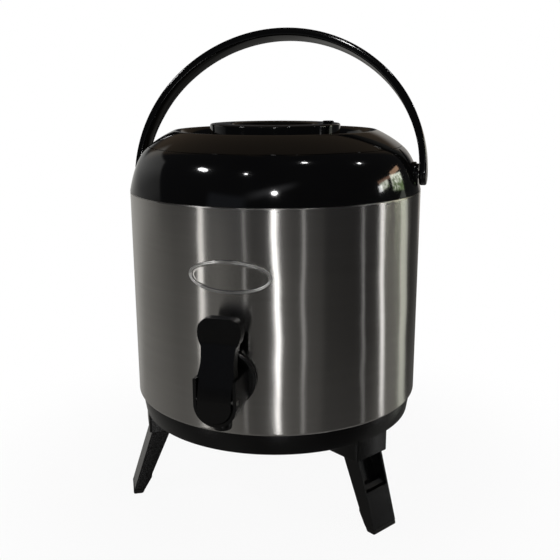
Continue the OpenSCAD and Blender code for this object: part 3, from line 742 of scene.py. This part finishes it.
# the strap follows three arcs: a side, the flatter top and the other side
first = held(along, 0.0, bend["Side Run"])
second = held(along - bend["Side Run"], 0.0, bend["Top Run"])
third = held(along - bend["Side Run"] - bend["Top Run"], 0.0, bend["Side Run"])
side_turn = (first + third) / (bend["Side Radius"] + bend["Half Thickness"])
turn = side_turn + second / (bend["Top Radius"] + bend["Half Thickness"])
across, up = bend["Half Span"], 0.0
for eighths, radius in (((0, 1), "Side Radius"), ((1, 3), "Top Radius"), ((3, 4), "Side Radius")):
    start, end = (math.pi / 4 * eighth for eighth in eighths)
    on_arc = held(turn, start, end)
    across = across + bend[radius] * (on_arc.maths("COSINE") - math.cos(start))
    up = bend[radius] * (on_arc.maths("SINE") - math.sin(start)) + up
past = abs(along - first - second - third)
bent = spot.node(
    "ShaderNodeCombineXYZ",
    {},
    {"X": across + out * turn.maths("COSINE"), "Y": over, "Z": up + out * turn.maths("SINE") - past},
)
hoop = bent.node("GeometryNodeSetPosition", {}, {"Geometry": bend["Geometry"], "Position": bent})
hoop = hoop.node(
    "GeometryNodeTransform",
    {},
    {
        "Geometry": hoop,
        "Translation": bent.node("ShaderNodeCombineXYZ", {}, {"Z": bend["Pivot Height"]}),
        "Rotation": bent.node("ShaderNodeCombineXYZ", {}, {"X": bend["Lean"]}),
    },
)
end_form(hoop, bend["Finish"])
bail = formed(
    "bail_strap",
    bend_tree,
    {"Side Run": SIDE_RUN * MM, "Top Run": TOP_RUN * MM, "Side Radius": SIDE_R * MM}
    | {"Top Radius": TOP_R * MM, "Half Thickness": BAIL_T / 2 * MM, "Half Span": BAIL_IN * MM}
    | {"Lean": math.radians(-BAIL_LEAN), "Pivot Height": PIVOT_UP * MM, "Finish": gloss_black},
    strap.data.copy(),
)
bpy.data.objects.remove(strap)
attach(bail, "bail_arm")
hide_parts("bail")
dressed("bail_pivots", turned_steel)

# Lid
# The lift-out lid is a gloss black moulding with a deep round recess and a raised grip in the middle,
# dished on top. A white pan closes it below, round a foam core, and a vent plug sits in the grip.

RIM_UP, FLOOR_UP, GRIP_UP, DISH_UP = LIP_UP + 13.6, LIP_UP + 2, LIP_UP + 19, LIP_UP + 16
LID_R, LID_T, LID_LOW, RIM_OUT, RIM_IN = 112.1, 3, LIP_UP + 0.4, 89.6, 88.6
RECESS_R, GRIP_R, DISH_R, FILLET, GRIP_EDGE = 82, 58, 38, 2, 1.5
PLUG_R, PLUG_LOW, GROOVE_R, GROOVE_TOP, GROOVE_LOW = 103.7, LIP_UP - 22, 102.1, LIP_UP - 8, LIP_UP - 12

# over the top, from the lid's edge in to its middle
lid_line = swept((LID_R, LID_LOW), (102.05, LIP_UP + 8.3), (RIM_OUT + 0.6, RIM_UP - 0.15), 16)
lid_line += [Vector((RIM_OUT, RIM_UP)), Vector((RIM_IN, RIM_UP))]
lid_line += swept(
    (RIM_IN - 0.8, RIM_UP - 0.15), (RECESS_R + 1, RIM_UP - 3), (RECESS_R, FLOOR_UP + FILLET), 12
)
lid_line += arc((RECESS_R - FILLET, FLOOR_UP + FILLET), FILLET, 0, -90, 4)
lid_line += arc((GRIP_R + FILLET, FLOOR_UP + FILLET), FILLET, 270, 180, 4)
lid_line += arc((GRIP_R - GRIP_EDGE, GRIP_UP - GRIP_EDGE), GRIP_EDGE, 0, 90, 4)
lid_line += swept((DISH_R + 4, GRIP_UP), (DISH_R + 1, GRIP_UP), (DISH_R, DISH_UP + 0.8), 6)
lid_line += swept((DISH_R - 0.4, DISH_UP + 0.4), (DISH_R - 0.8, DISH_UP), (DISH_R - 2, DISH_UP), 3)
# back out underneath, and down and up round the plug with its gasket's groove
under_line = [(0, DISH_UP), (0, DISH_UP - LID_T), (GRIP_R - LID_T, DISH_UP - LID_T)]
under_line += [(GRIP_R - LID_T, FLOOR_UP - LID_T), (RECESS_R + 2, FLOOR_UP - LID_T), (90.5, RIM_UP - 4)]
under_line += [(PLUG_R - LID_T, LIP_UP + 5), (PLUG_R - LID_T, PLUG_LOW), (PLUG_R, PLUG_LOW)]
under_line += [(PLUG_R, GROOVE_LOW), (GROOVE_R, GROOVE_LOW), (GROOVE_R, GROOVE_TOP), (PLUG_R, GROOVE_TOP)]
under_line += [(PLUG_R, LID_LOW), (LID_R - 0.4, LID_LOW)]
lid_line += [Vector(point) for point in under_line]
lid = piece_of("lid_moulding", [turned(lid_line, 240)], gloss_black)
VENT_OUT, VENT_TURN, VENT_BORE, VENT_R, CAP_R, CAP_UP = 47.5, 110, 4.3, 3.4, 5.1, GRIP_UP + 0.3
vent_at = Matrix.Rotation(math.radians(VENT_TURN), 4, "Z") @ Matrix.Translation((0, -VENT_OUT, 0))
cut(lid, [moved(drill(VENT_BORE, GRIP_UP - 12, GRIP_UP + 4), vent_at)])
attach(lid, "lid")
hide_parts("lid_cover")

vent_line = rounded(
    [(0, GRIP_UP - 10, 0), (VENT_R, GRIP_UP - 10, 0.6), (VENT_R, CAP_UP, 0.1), (CAP_R, CAP_UP, 0.2)]
    + [(CAP_R + 0.1, CAP_UP + 0.8, 0.3), (CAP_R - 0.6, CAP_UP + 1.6, 0.6), (0, CAP_UP + 1.8, 0)]
)
vent = piece_of("vent_plug_cap", [moved(turned(vent_line, 48), vent_at)], satin_black)
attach(vent, "vent")
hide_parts("vent_plug")

white_plastic, shader, place = new_finish("white_plastic", {"IOR": 1.5, "Subsurface Weight": 0.05})
tint = place.noise(30, 3)
feed(
    shader,
    Base_Color=tint.between((0.70, 0.70, 0.66), (0.78, 0.78, 0.75)),
    Roughness=0.34 + 0.14 * tint,
    Normal=place.noise(2000).relief(0.12, 0.0002),
)
dressed("lid_pan", white_plastic)
dressed("lid_core", poured_foam)
dressed("lid_gasket", silicone)
dressed("vent_seal", silicone)

# Tap body
# The tap is a satin black moulding: a round flange and threaded shank clamped through the barrel's
# wall, and a cup with a round bottom whose two cheeks carry the lever's pin.

TAP_UP, STEM_OUT, LEVER_OUT, LEVER_UP, LEVER_PIN_R, LEVER_BORE_HALF = 149, 150, 163.5, 142, 2, 25
CUP_HALF, SLOT_HALF, SLOT_OUT, NOSE_OUT, ROUND_DOWN = 17.3, 14.7, 158.8, 166.5, 10.4
CUP_TOP, CUP_ROUND = TAP_UP + 10, TAP_UP - ROUND_DOWN


def cup_path(half, low):
    """A U-shaped path across the tap, from the left top round the bottom to the right top."""
    climbs = [(CUP_TOP - CUP_ROUND) * k / 4 for k in range(5)]
    path = [Vector((-half, CUP_TOP - climb)) for climb in climbs[:-1]]
    path += arc((0, CUP_ROUND), half, 180, 360, 28)
    path += [Vector((half, CUP_ROUND + climb)) for climb in climbs[1:]]
    return [Vector((p.x, max(p.y, low))) for p in path]


slot_path = cup_path(SLOT_HALF, 0)
flat_path = [Vector((p.x, CUP_TOP)) for p in slot_path]
cup_loops = []
# each section out from the barrel: how far out, the lowest that it may reach, its inner path
for out, low, inner in (
    (134, TAP_UP - 12, flat_path),
    (144, TAP_UP - 26, flat_path),
    (145.6, TAP_UP - 28.2, flat_path),
    (SLOT_OUT, 0, flat_path),
    (SLOT_OUT, 0, slot_path),
    (NOSE_OUT, 0, slot_path),
):
    cup_loops.append([(p.x, -out, p.y) for p in cup_path(CUP_HALF, low) + inner[::-1]])
cup = piece_of("tap_cup", [skinned(cup_loops)], satin_black)
eased(cup, 0.6, 2)
SPOUT_R, CHAMBER_R, BONNET_R, CHAMBER_LOW, CHAMBER_TOP = 4.5, 6.5, 8.5, -24, 6
bores = [(0, -40), (SPOUT_R, -40), (SPOUT_R, CHAMBER_LOW), (CHAMBER_R, CHAMBER_LOW)]
bores += [(CHAMBER_R, CHAMBER_TOP), (BONNET_R, CHAMBER_TOP), (BONNET_R, 18), (0, 18)]
stem_axis = Matrix.Translation((0, -STEM_OUT, TAP_UP))
cut(cup, [moved(turned(bores, 64), stem_axis)])
lever_axis = Matrix.Translation((0, -LEVER_OUT, LEVER_UP)) @ lay_across
pin_hole = drill(LEVER_PIN_R + 0.02, -LEVER_BORE_HALF, LEVER_BORE_HALF, 40)
evened(cut(cup, [moved(pin_hole, lever_axis)]))
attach(cup, "barrel")
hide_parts("tap_body")

FLANGE_R, FLANGE_BACK, FLANGE_FRONT = 22.5, 131.8, 135.3
SHANK_R, SHANK_BORE, SHANK_END, THREAD_END = 10, 5, 96.8, 112
THREAD_DEEP, THREAD_STEP, THREADS = 0.7, 0.9, 8
SPOUT_LOW, SPOUT_TOP, SPOUT_OUT_R = -35, -22, 7.8
front_axis = Matrix.Translation((0, 0, TAP_UP)) @ Matrix.Rotation(math.radians(90), 4, "X")
flange_line = rounded(
    [(SHANK_BORE, FLANGE_BACK, 0), (FLANGE_R, FLANGE_BACK, 0.5), (FLANGE_R, FLANGE_FRONT, 1.4)]
    + [(SHANK_BORE, FLANGE_FRONT + 0.3, 0)]
)
shank_line = [(SHANK_BORE, SHANK_END), (SHANK_R - 1.2, SHANK_END)]
for k in range(2 * THREADS):
    shank_line.append((SHANK_R - THREAD_DEEP * (k % 2), SHANK_END + 0.7 + THREAD_STEP * k))
shank_line += [(SHANK_R, THREAD_END), (SHANK_R, FLANGE_BACK + 0.7), (SHANK_BORE, FLANGE_BACK + 0.7)]
spout_line = rounded(
    [(SPOUT_R, SPOUT_LOW, 0.5), (SPOUT_OUT_R - 0.5, SPOUT_LOW, 0.9), (SPOUT_OUT_R, SPOUT_LOW + 3, 1)]
    + [(SPOUT_OUT_R, SPOUT_TOP, 0), (SPOUT_R, SPOUT_TOP, 0)]
)
mount = piece_of(
    "tap_mount",
    [moved(turned(flange_line, 128), front_axis), moved(turned(shank_line, 64), front_axis)]
    + [moved(turned(spout_line, 64), stem_axis)],
    satin_black,
)
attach(mount, "barrel")
dressed("tap_gasket", black_rubber)
dressed("tap_washer", silicone)
dressed("tap_nut", white_plastic)
dressed("tap_bonnet", satin_black)
dressed("lever_pin", turned_steel)

# Lever
# The lever is a moulded channel: a broad round-cornered head for the thumb, a crease across the face,
# a waist, and a tongue that fills the front of the cup. A forked finger behind it lifts the stem.

HEAD_HALF, HEAD_TOP, HEAD_ROUND, TONGUE_R = 17.5, 54.3, 9, 13.6
CHANNEL_TOP, CHANNEL_LOW, LEVER_WALL, LEVER_FACE_T = 51.3, 15.2, 2.5, 3
BACK_UP, STEP, LEVER_BORE = 11, 0.01, LEVER_PIN_R + 0.05


def read(line, up):
    """The value of a line of (value, height), from the top down, at a height."""
    for (high, top), (low, bottom) in zip(line, line[1:]):
        if bottom <= up <= top:
            return high + (low - high) * (top - up) / max(top - bottom, 1e-9)
    return line[-1][0] if up < line[-1][1] else line[0][0]


# heights are above the tap's middle: first half the width, then how far out the face and the back are
lever_side = arc((HEAD_HALF - HEAD_ROUND, HEAD_TOP - HEAD_ROUND), HEAD_ROUND, 90, 0, 12)
lever_side += swept((HEAD_HALF, 43.5), (HEAD_HALF, 38), (14.2, 33), 8)
lever_side += swept((13.65, 28), (12.6, 20), (15.05, 10.8), 8)
lever_side += [(TONGUE_R, 9.5), *arc((0, -ROUND_DOWN), TONGUE_R, 0, -85, 17)]
face_line = [(152.6, HEAD_TOP), (155, 35.5), (163, 10), (168, -6), (168.5, -25)]
back_line = [(143.6, HEAD_TOP), (146, 35.5), (153.7, BACK_UP + STEP), (159.4, BACK_UP), (159.4, 5)]
back_line += [(164, -7), (164, -25)]
# the sections: each point of the side, both edges of the crease, the channel's ends, the other bends
levels = {round(up, 3) for _, up in lever_side} | {36.2, 34.8, BACK_UP + STEP, BACK_UP, 5, -6, -7}
levels |= {CHANNEL_TOP + STEP, CHANNEL_TOP, CHANNEL_LOW + STEP, CHANNEL_LOW}
lever_loops = []
for up in sorted(levels, reverse=True):
    half, face, back = read(lever_side, up), read(face_line, up), read(back_line, up)
    wall = max(half - LEVER_WALL, 0.3 * half)
    hollow = CHANNEL_LOW + STEP / 2 < up < CHANNEL_TOP + STEP / 2
    bed = face - LEVER_FACE_T if hollow else back
    loop = [(-half, back), (-half, face), (half, face), (half, back)]
    loop += [(wall, back), (wall, bed), (-wall, bed), (-wall, back)]
    lever_loops.append([(x, -out, TAP_UP + up) for x, out in loop])
lever = piece_of("lever_channel", [skinned(lever_loops)], satin_black)
cut(lever, [moved(drill(LEVER_BORE, -LEVER_BORE_HALF, LEVER_BORE_HALF, 40), lever_axis)])
eased(lever, 0.45, 3)
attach(lever, "lever")
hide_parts("tap_lever")

KNUCKLE_R, KNUCKLE_HALF = 4, 13.4
FORK_HALF, FORK_GAP, FORK_ROOT, FORK_BED, FORK_TIP, FORK_T = 5.5, 2.5, 159.2, 153.5, 139, 3
knuckle_line = rounded(
    [(LEVER_BORE, -KNUCKLE_HALF, 0.2), (KNUCKLE_R, -KNUCKLE_HALF, 0.4)]
    + [(KNUCKLE_R, KNUCKLE_HALF, 0.4), (LEVER_BORE, KNUCKLE_HALF, 0.2)]
)
fork = rounded(
    [(-FORK_HALF, FORK_ROOT, 0), (-FORK_HALF, FORK_TIP, 0.8), (-FORK_GAP, FORK_TIP, 0.8)]
    + [(-FORK_GAP, FORK_BED, 1), (FORK_GAP, FORK_BED, 1), (FORK_GAP, FORK_TIP, 0.8)]
    + [(FORK_HALF, FORK_TIP, 0.8), (FORK_HALF, FORK_ROOT, 0)]
)
fork_levels = (TAP_UP + CHANNEL_LOW - FORK_T, TAP_UP + CHANNEL_LOW)
finger = piece_of(
    "lever_finger",
    [moved(turned(knuckle_line, 48), lever_axis)]
    + [skinned([[(x, -out, up) for x, out in fork] for up in fork_levels])],
    satin_black,
)
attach(finger, "lever")

# Valve
# Inside the cup a steel stem carries the seal. A coil spring of stainless wire under the bonnet
# presses it onto its seat, and the lever's finger lifts it.

SPRING_LOW, SPRING_TOP, WIRE_R, COIL_R, TURNS = TAP_UP - 18.9, TAP_UP + 6, 0.45, 3.8, 7.0
coil_tree, coil = new_form(
    "coil_spring",
    {"Turns": "Float", "Coil Radius": "Float", "Height": "Float", "Wire Radius": "Float"}
    | {"Place": "Vector", "Finish": "Material"},
)
helix = coil["Turns"].node(
    "GeometryNodeCurveSpiral",
    {},
    {"Resolution": 32, "Rotations": coil["Turns"], "Start Radius": coil["Coil Radius"]}
    | {"End Radius": coil["Coil Radius"], "Height": coil["Height"]},
)
section = helix.node(
    "GeometryNodeCurvePrimitiveCircle", {}, {"Resolution": 10, "Radius": coil["Wire Radius"]}
)
spring = helix.node(
    "GeometryNodeCurveToMesh", {}, {"Curve": helix, "Profile Curve": section, "Fill Caps": True}
)
spring = spring.node("GeometryNodeTransform", {}, {"Geometry": spring, "Translation": coil["Place"]})
end_form(spring, coil["Finish"])
valve_spring = formed(
    "valve_coil",
    coil_tree,
    {"Turns": TURNS, "Coil Radius": COIL_R * MM, "Height": (SPRING_TOP - SPRING_LOW - 2 * WIRE_R) * MM}
    | {"Wire Radius": WIRE_R * MM, "Place": (0, -STEM_OUT * MM, (SPRING_LOW + WIRE_R) * MM)}
    | {"Finish": turned_steel},
)
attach(valve_spring, "barrel")
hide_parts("valve_spring")
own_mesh(valve_spring)
dressed("valve_stem", turned_steel)
dressed("valve_seal", silicone)

# Stage
# A plain pale floor that thins out into a white surround, and the room's small lamps and bright walls
# as they show in the steel. Directions are in degrees, given as the camera sees them.

FLOOR_R, FLOOR_SIDES, FLOOR_WEIGHT, FADE_FROM, FADE_TO = 0.45, 96, 0.06, 0.12, 0.42


def rise(wire, low, high, start=0.0, end=1.0):
    """Goes softly from start to end as a value goes from low to high."""
    return wire.node(
        "ShaderNodeMapRange",
        {"interpolation_type": "SMOOTHSTEP"},
        {"Value": wire, "From Min": low, "From Max": high, "To Min": start, "To Max": end},
    )


floor_finish = bpy.data.materials.new("pale_floor")
floor_finish.use_nodes = True
tree = floor_finish.node_tree
tree.nodes.clear()
place = Wire(tree, tree.nodes.new("ShaderNodeTexCoord").outputs["Object"])
reach = place.node("ShaderNodeVectorMath", {"operation": "LENGTH"}, {0: place}, "Value")
thin = rise(reach, FADE_FROM, FADE_TO, FLOOR_WEIGHT, 0.0)
pale = place.node("ShaderNodeBsdfDiffuse", {}, {"Color": (0.86, 0.86, 0.86, 1)})
clear = place.node("ShaderNodeBsdfTransparent", {}, {})
mixed = place.node("ShaderNodeMixShader", {}, {0: thin, 1: clear, 2: pale})
tree.links.new(mixed.socket, tree.nodes.new("ShaderNodeOutputMaterial").inputs["Surface"])
floor_mesh = bpy.data.meshes.new("floor")
floor_edge = [ray(360 * k / FLOOR_SIDES) * FLOOR_R for k in range(FLOOR_SIDES)]
floor_mesh.from_pydata([(*point, 0) for point in floor_edge], [], [range(FLOOR_SIDES)])
floor_mesh.materials.append(floor_finish)
floor = bpy.data.objects.new("floor", floor_mesh)
bpy.context.scene.collection.objects.link(floor)

CAMERA_TURN = 16.4
world = bpy.data.worlds.new("surround")
world.use_nodes = True
bpy.context.scene.world = world
tree = world.node_tree
way = Wire(tree, tree.nodes.new("ShaderNodeTexCoord").outputs["Generated"])
way = way.node(
    "ShaderNodeVectorRotate",
    {"rotation_type": "Z_AXIS"},
    {"Vector": way, "Angle": math.radians(-CAMERA_TURN)},
)
x, y, z = way.parts()
azimuth = x.maths("ARCTAN2", x, 0 - y) * math.degrees(1)
elevation = z.maths("ARCSINE") * math.degrees(1)


def span(wire, edge_in, edge_out):
    """1 over a stretch of values, between a soft edge that rises and one that falls."""
    return rise(wire, *edge_in) * rise(wire, *reversed(edge_out))


def scaled(colour, wire):
    """A colour made brighter by a value."""
    return wire.node("ShaderNodeVectorMath", {"operation": "SCALE"}, {0: colour, "Scale": wire})


def joined(a, b):
    """Two colours added up."""
    return a.node("ShaderNodeVectorMath", {"operation": "ADD"}, {0: a, 1: b})


# how bright the room is round about at the level of the barrel, by azimuth
room = [(-180, 0.20), (-150, 0.22), (-135, 0.19), (-113, 0.152), (-96, 0.125), (-84, 0.098), (-60, 0.11)]
room += [(-45, 0.145), (-34, 0.10), (-18, 0.053), (-7, 0.06), (6, 0.12), (13, 0.08), (26, 0.060)]
room += [(35, 0.056), (39, 0.026), (74, 0.016), (83, 0.03), (100, 0.13)]
room += [(122, 0.15), (130, 0.03), (140, 0.04), (180, 0.16)]
stops = [(a / 360 + 0.5, (1.02 * v, v, 0.95 * v, 1)) for a, v in room]
level = azimuth.node("ShaderNodeValToRGB", {"stops": stops}, {"Fac": azimuth / 360 + 0.5}, "Color")

# the two panes of the window, with trees in them
off, high = azimuth - 112, elevation - 11.3
far_pane = rise(abs(off - 0.25 * high), 8.4, 7.4) * rise(abs(high + 0.25 * off), 5.0, 4.3)
near_pane = rise(abs(azimuth - 95.3), 5.4, 4.6) * rise(abs(elevation - 14.2), 2.5, 1.9)
trees = rise(way.noise(34, 4) + 0.03 * high, 0.42, 0.66)
view = scaled(trees.between((0.9, 1.3, 0.55), (8.5, 8.8, 7.6)), far_pane + near_pane)

# the bright wall on the left, with its slanting edges, and the areas that are plain patches
nearer = rise(azimuth, -153, -146)
lower = rise(elevation, 13, 6) * rise(azimuth, -176, -171)
skew = elevation - 0.5 * azimuth
wall = rise(azimuth + 0.86 * elevation, -90.5, -94.5) * rise(elevation, 30, 27)
wall = wall * (rise(skew, 66, 80) + rise(skew, 46, 62)) * 0.5 * (nearer + lower - nearer * lower)
above, table_top = rise(elevation, -4, 4), rise(elevation, -15, -26)
near_floor = rise(elevation, -46, -62) * rise(azimuth, 10, 70)
pale_patch = span(azimuth, (-56, -50), (-28, -20)) * span(elevation, (9.5, 12), (18, 22))
aft = rise(abs(azimuth) + 0.25 * elevation, 138, 150) * span(elevation, (10, 20), (78, 84))
far_right = span(azimuth, (148, 156), (169, 174)) * span(elevation, (-12, -6), (12, 22))
haze = rise(abs(elevation - 0.28 * azimuth - 26.8), 5, 0) * rise(abs(azimuth + 3), 26, 4)

around = joined(scaled(level, rise(elevation, 4, -4)), view)
for area, colour in (
    (above, (0.026, 0.026, 0.028)),
    (table_top, (0.020, 0.0195, 0.019)),
    (wall, (0.33, 0.33, 0.32)),
    (near_floor, (0.16, 0.16, 0.16)),
    (pale_patch, (0.10, 0.11, 0.13)),
    (aft, (0.080, 0.055, 0.030)),
    (far_right, (0.42, 0.40, 0.37)),
    (haze, (0.40, 0.40, 0.42)),
):
    around = joined(around, area.between((0, 0, 0), colour))
seen = Wire(tree, tree.nodes.new("ShaderNodeLightPath").outputs["Is Camera Ray"])
shown = seen.between(around, (1, 1, 1))
tree.links.new(shown.socket, tree.nodes["Background"].inputs["Color"])

LAMP_AWAY, MIDDLE_UP, STRIP_UP, STRIP_TALL = 2.4, 0.2125, -12, 40


def heading(azimuth, elevation):
    """The direction of an azimuth right of the camera and an elevation, in degrees."""
    a, e = math.radians(azimuth + CAMERA_TURN), math.radians(elevation)
    return Vector((math.sin(a) * math.cos(e), -math.cos(a) * math.cos(e), math.sin(e)))


def lamp(name, azimuth, elevation, width, height, glow, colour=(1, 1, 1), shape="ELLIPSE", roll=0):
    """A flat lamp that faces the barrel, its width and height in degrees. Glow is its brightness."""
    light = bpy.data.lights.new(name, "AREA")
    width, height = (2 * LAMP_AWAY * math.tan(math.radians(a / 2)) for a in (width, height))
    light.shape, light.size, light.size_y = shape, width, height
    light.energy = glow * math.pi * width * height * (math.pi / 4 if shape == "ELLIPSE" else 1)
    light.color = colour
    lit = bpy.data.objects.new(name, light)
    towards = heading(azimuth, elevation)
    lit.location = Vector((0, 0, MIDDLE_UP)) + towards * LAMP_AWAY
    lit.rotation_mode = "QUATERNION"
    faced = towards.to_track_quat("Z", "Y")
    lit.rotation_quaternion = faced @ Quaternion((0, 0, 1), math.radians(roll))
    lit.visible_camera = False
    bpy.context.scene.collection.objects.link(lit)


def strip(name, azimuth, width, glow, colour=(1, 1, 1), roll=0):
    """A tall lit gap in the room, seen as a streak in the steel."""
    lamp(name, azimuth, STRIP_UP, width, STRIP_TALL, glow, colour, "RECTANGLE", roll)


# the small lamps overhead, seen as spots in the collar
lamp("left_spot", -69.2, 40.6, 8, 4.4, 45)
lamp("small_left_spot", -26.8, 43.7, 1.8, 2.0, 80)
lamp("front_spot", -0.9, 24.7, 4, 3, 70)
lamp("right_spot", 39.5, 64.5, 3, 3.4, 60)
lamp("far_right_spot", 88, 43, 2.0, 2.4, 70)
strip("left_strip", -57.5, 4.5, 1.2, (1.0, 0.99, 0.97))
strip("small_left_strip", -23, 1.7, 0.32)
strip("front_strip", -0.1, 2.7, 4.0, roll=7)
strip("right_strip", 20, 2.0, 0.5)
strip("thin_strip", 69, 1.1, 0.6, roll=9)
strip("bright_strip", 88.5, 4, 1.35, roll=15)
strip("window_strip", 117, 10, 0.5, (0.96, 1.0, 0.88), 20)
# the near pane and the curtain, seen in the collar's right side
lamp("near_pane", 87.4, 15, 4, 3.6, 11, (1, 1, 1), "RECTANGLE", -2)
lamp("near_curtain", 95, 18.7, 16, 2.0, 1.8, (1.0, 0.55, 0.36), "RECTANGLE", -2)
lamp("far_curtain", 112, 19.2, 14, 3.4, 2.8, (1.0, 0.62, 0.40), "RECTANGLE", -2)

CAMERA_AT, LENS, SENSOR = (0.1996, -0.6782, 0.3725), 50, 36
PITCH, YAW, ROLL = math.radians(13.93), math.radians(0.30), math.radians(-0.21)
ahead = Vector((math.sin(YAW) * math.cos(PITCH), math.cos(YAW) * math.cos(PITCH), -math.sin(PITCH)))
right = Vector((math.cos(YAW), -math.sin(YAW), 0))
up = right.cross(ahead)
right, up = right * math.cos(ROLL) + up * math.sin(ROLL), up * math.cos(ROLL) - right * math.sin(ROLL)
lens = bpy.data.cameras.new("camera")
lens.lens, lens.sensor_width, lens.sensor_fit = LENS, SENSOR, "HORIZONTAL"
camera = bpy.data.objects.new("camera", lens)
turn_in = Matrix.Rotation(math.radians(CAMERA_TURN), 3, "Z")
axes = Matrix((turn_in @ right, turn_in @ up, turn_in @ -ahead)).transposed().to_4x4()
camera.matrix_world = Matrix.Translation(CAMERA_AT) @ axes
bpy.context.scene.collection.objects.link(camera)
bpy.context.scene.camera = camera
bpy.context.scene.view_settings.view_transform = "Standard"
